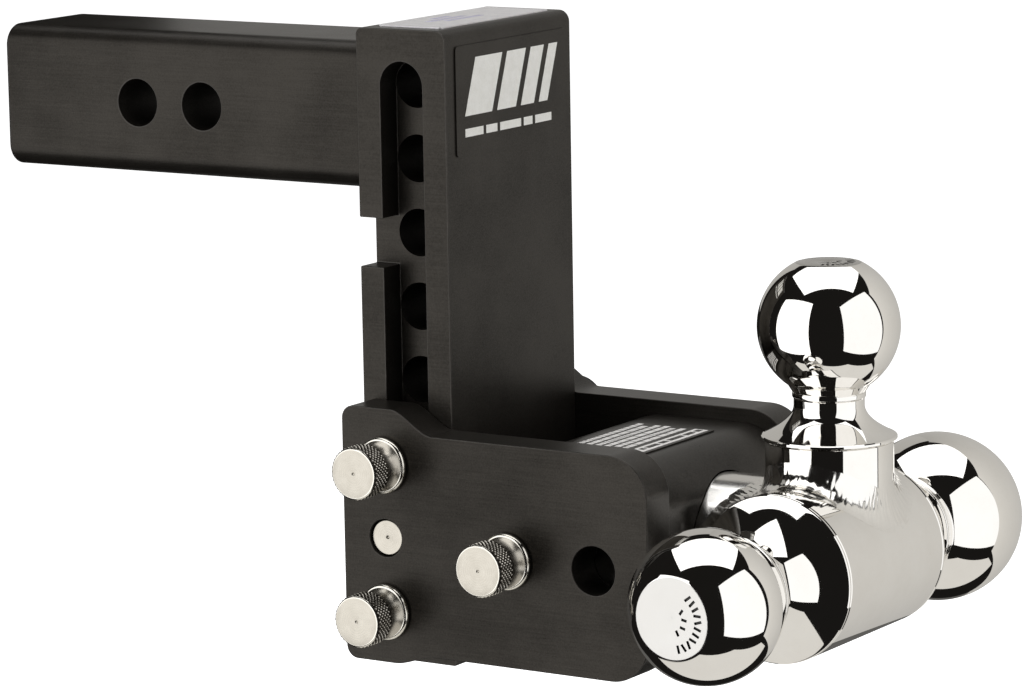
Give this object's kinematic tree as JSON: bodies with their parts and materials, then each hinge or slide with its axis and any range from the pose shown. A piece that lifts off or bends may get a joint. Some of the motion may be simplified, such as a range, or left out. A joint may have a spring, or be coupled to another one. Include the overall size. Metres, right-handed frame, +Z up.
{
  "type": "adjustable trailer hitch with three balls",
  "caption": "Adjustable drop trailer hitch: square receiver shank, slotted upright post, pinned carriage and a chrome multi-ball head, held by locking pull pins.",
  "frame": {"origin": "centre of the rear receiver pin hole, on the receiver shank's axis", "axes": "+X along the shank towards the balls, +Z up, -Y the side with the knurled pin heads"},
  "size_m": [0.3518, 0.2066, 0.2184],
  "materials": {
    "frame_paint": "satin black powder coat with a fine grain",
    "stainless": "turned stainless steel, bright",
    "ball_chrome": "mirror chrome plate",
    "lock_brass": "plain machined brass",
    "cap_rubber": "matt black rubber",
    "silver_label": "silver film",
    "pale_label": "printed film, off-white on black",
    "printed_label": "printed film, white on black"
  },
  "bodies": {
    "hitch": {"receiver_shank": "frame_paint", "upright_post": "frame_paint", "near_side_plate": "frame_paint", "far_side_plate": "frame_paint", "socket_block": "frame_paint", "near_guide_pin": "stainless", "far_guide_pin": "stainless", "ball_shank": "ball_chrome", "ball_hub": "ball_chrome", "ball_riser": "ball_chrome", "top_ball": "ball_chrome", "near_ball": "ball_chrome", "far_ball": "ball_chrome", "riser_weld_bead": "ball_chrome", "shank_weld_bead": "ball_chrome", "post_top_label": "silver_label", "post_front_label": "pale_label", "block_label": "printed_label"},
    "upper_pin": {"upper_height_pin": "stainless"},
    "upper_lock": {"upper_lock_body": "stainless"},
    "upper_plug": {"upper_key_plug": "lock_brass"},
    "upper_cap": {"upper_dust_cap": "cap_rubber"},
    "lower_pin": {"lower_height_pin": "stainless"},
    "lower_lock": {"lower_lock_body": "stainless"},
    "lower_plug": {"lower_key_plug": "lock_brass"},
    "lower_cap": {"lower_dust_cap": "cap_rubber"},
    "ball_pin": {"ball_pin": "stainless"},
    "ball_lock": {"ball_pin_lock_body": "stainless"},
    "ball_plug": {"ball_pin_key_plug": "lock_brass"},
    "ball_cap": {"ball_pin_dust_cap": "cap_rubber"}
  },
  "joints": [
    {"name": "upper_pin_pull", "type": "slide", "parent": "hitch", "child": "upper_pin", "axis": [0, -1, 0], "range_m": [0, 0.125]},
    {"name": "upper_lock_pull", "type": "slide", "parent": "hitch", "child": "upper_lock", "axis": [0, 1, 0], "range_m": [0, 0.03]},
    {"name": "upper_key_turn", "type": "hinge", "parent": "upper_lock", "child": "upper_plug", "pos_m": [0.12205, 0.0711, -0.11417], "axis": [0, 1, 0], "range_deg": [0, 90]},
    {"name": "upper_cap_pull", "type": "slide", "parent": "upper_lock", "child": "upper_cap", "axis": [0, 1, 0], "range_m": [0, 0.02]},
    {"name": "lower_pin_pull", "type": "slide", "parent": "hitch", "child": "lower_pin", "axis": [0, -1, 0], "range_m": [0, 0.125]},
    {"name": "lower_lock_pull", "type": "slide", "parent": "hitch", "child": "lower_lock", "axis": [0, 1, 0], "range_m": [0, 0.03]},
    {"name": "lower_key_turn", "type": "hinge", "parent": "lower_lock", "child": "lower_plug", "pos_m": [0.12205, 0.0711, -0.16497], "axis": [0, 1, 0], "range_deg": [0, 90]},
    {"name": "lower_cap_pull", "type": "slide", "parent": "lower_lock", "child": "lower_cap", "axis": [0, 1, 0], "range_m": [0, 0.02]},
    {"name": "ball_pin_pull", "type": "slide", "parent": "hitch", "child": "ball_pin", "axis": [0, -1, 0], "range_m": [0, 0.125]},
    {"name": "ball_lock_pull", "type": "slide", "parent": "hitch", "child": "ball_lock", "axis": [0, 1, 0], "range_m": [0, 0.03]},
    {"name": "ball_key_turn", "type": "hinge", "parent": "ball_lock", "child": "ball_plug", "pos_m": [0.1712, 0.0711, -0.1424], "axis": [0, 1, 0], "range_deg": [0, 90]},
    {"name": "ball_cap_pull", "type": "slide", "parent": "ball_lock", "child": "ball_cap", "axis": [0, 1, 0], "range_m": [0, 0.02]}
  ]
}
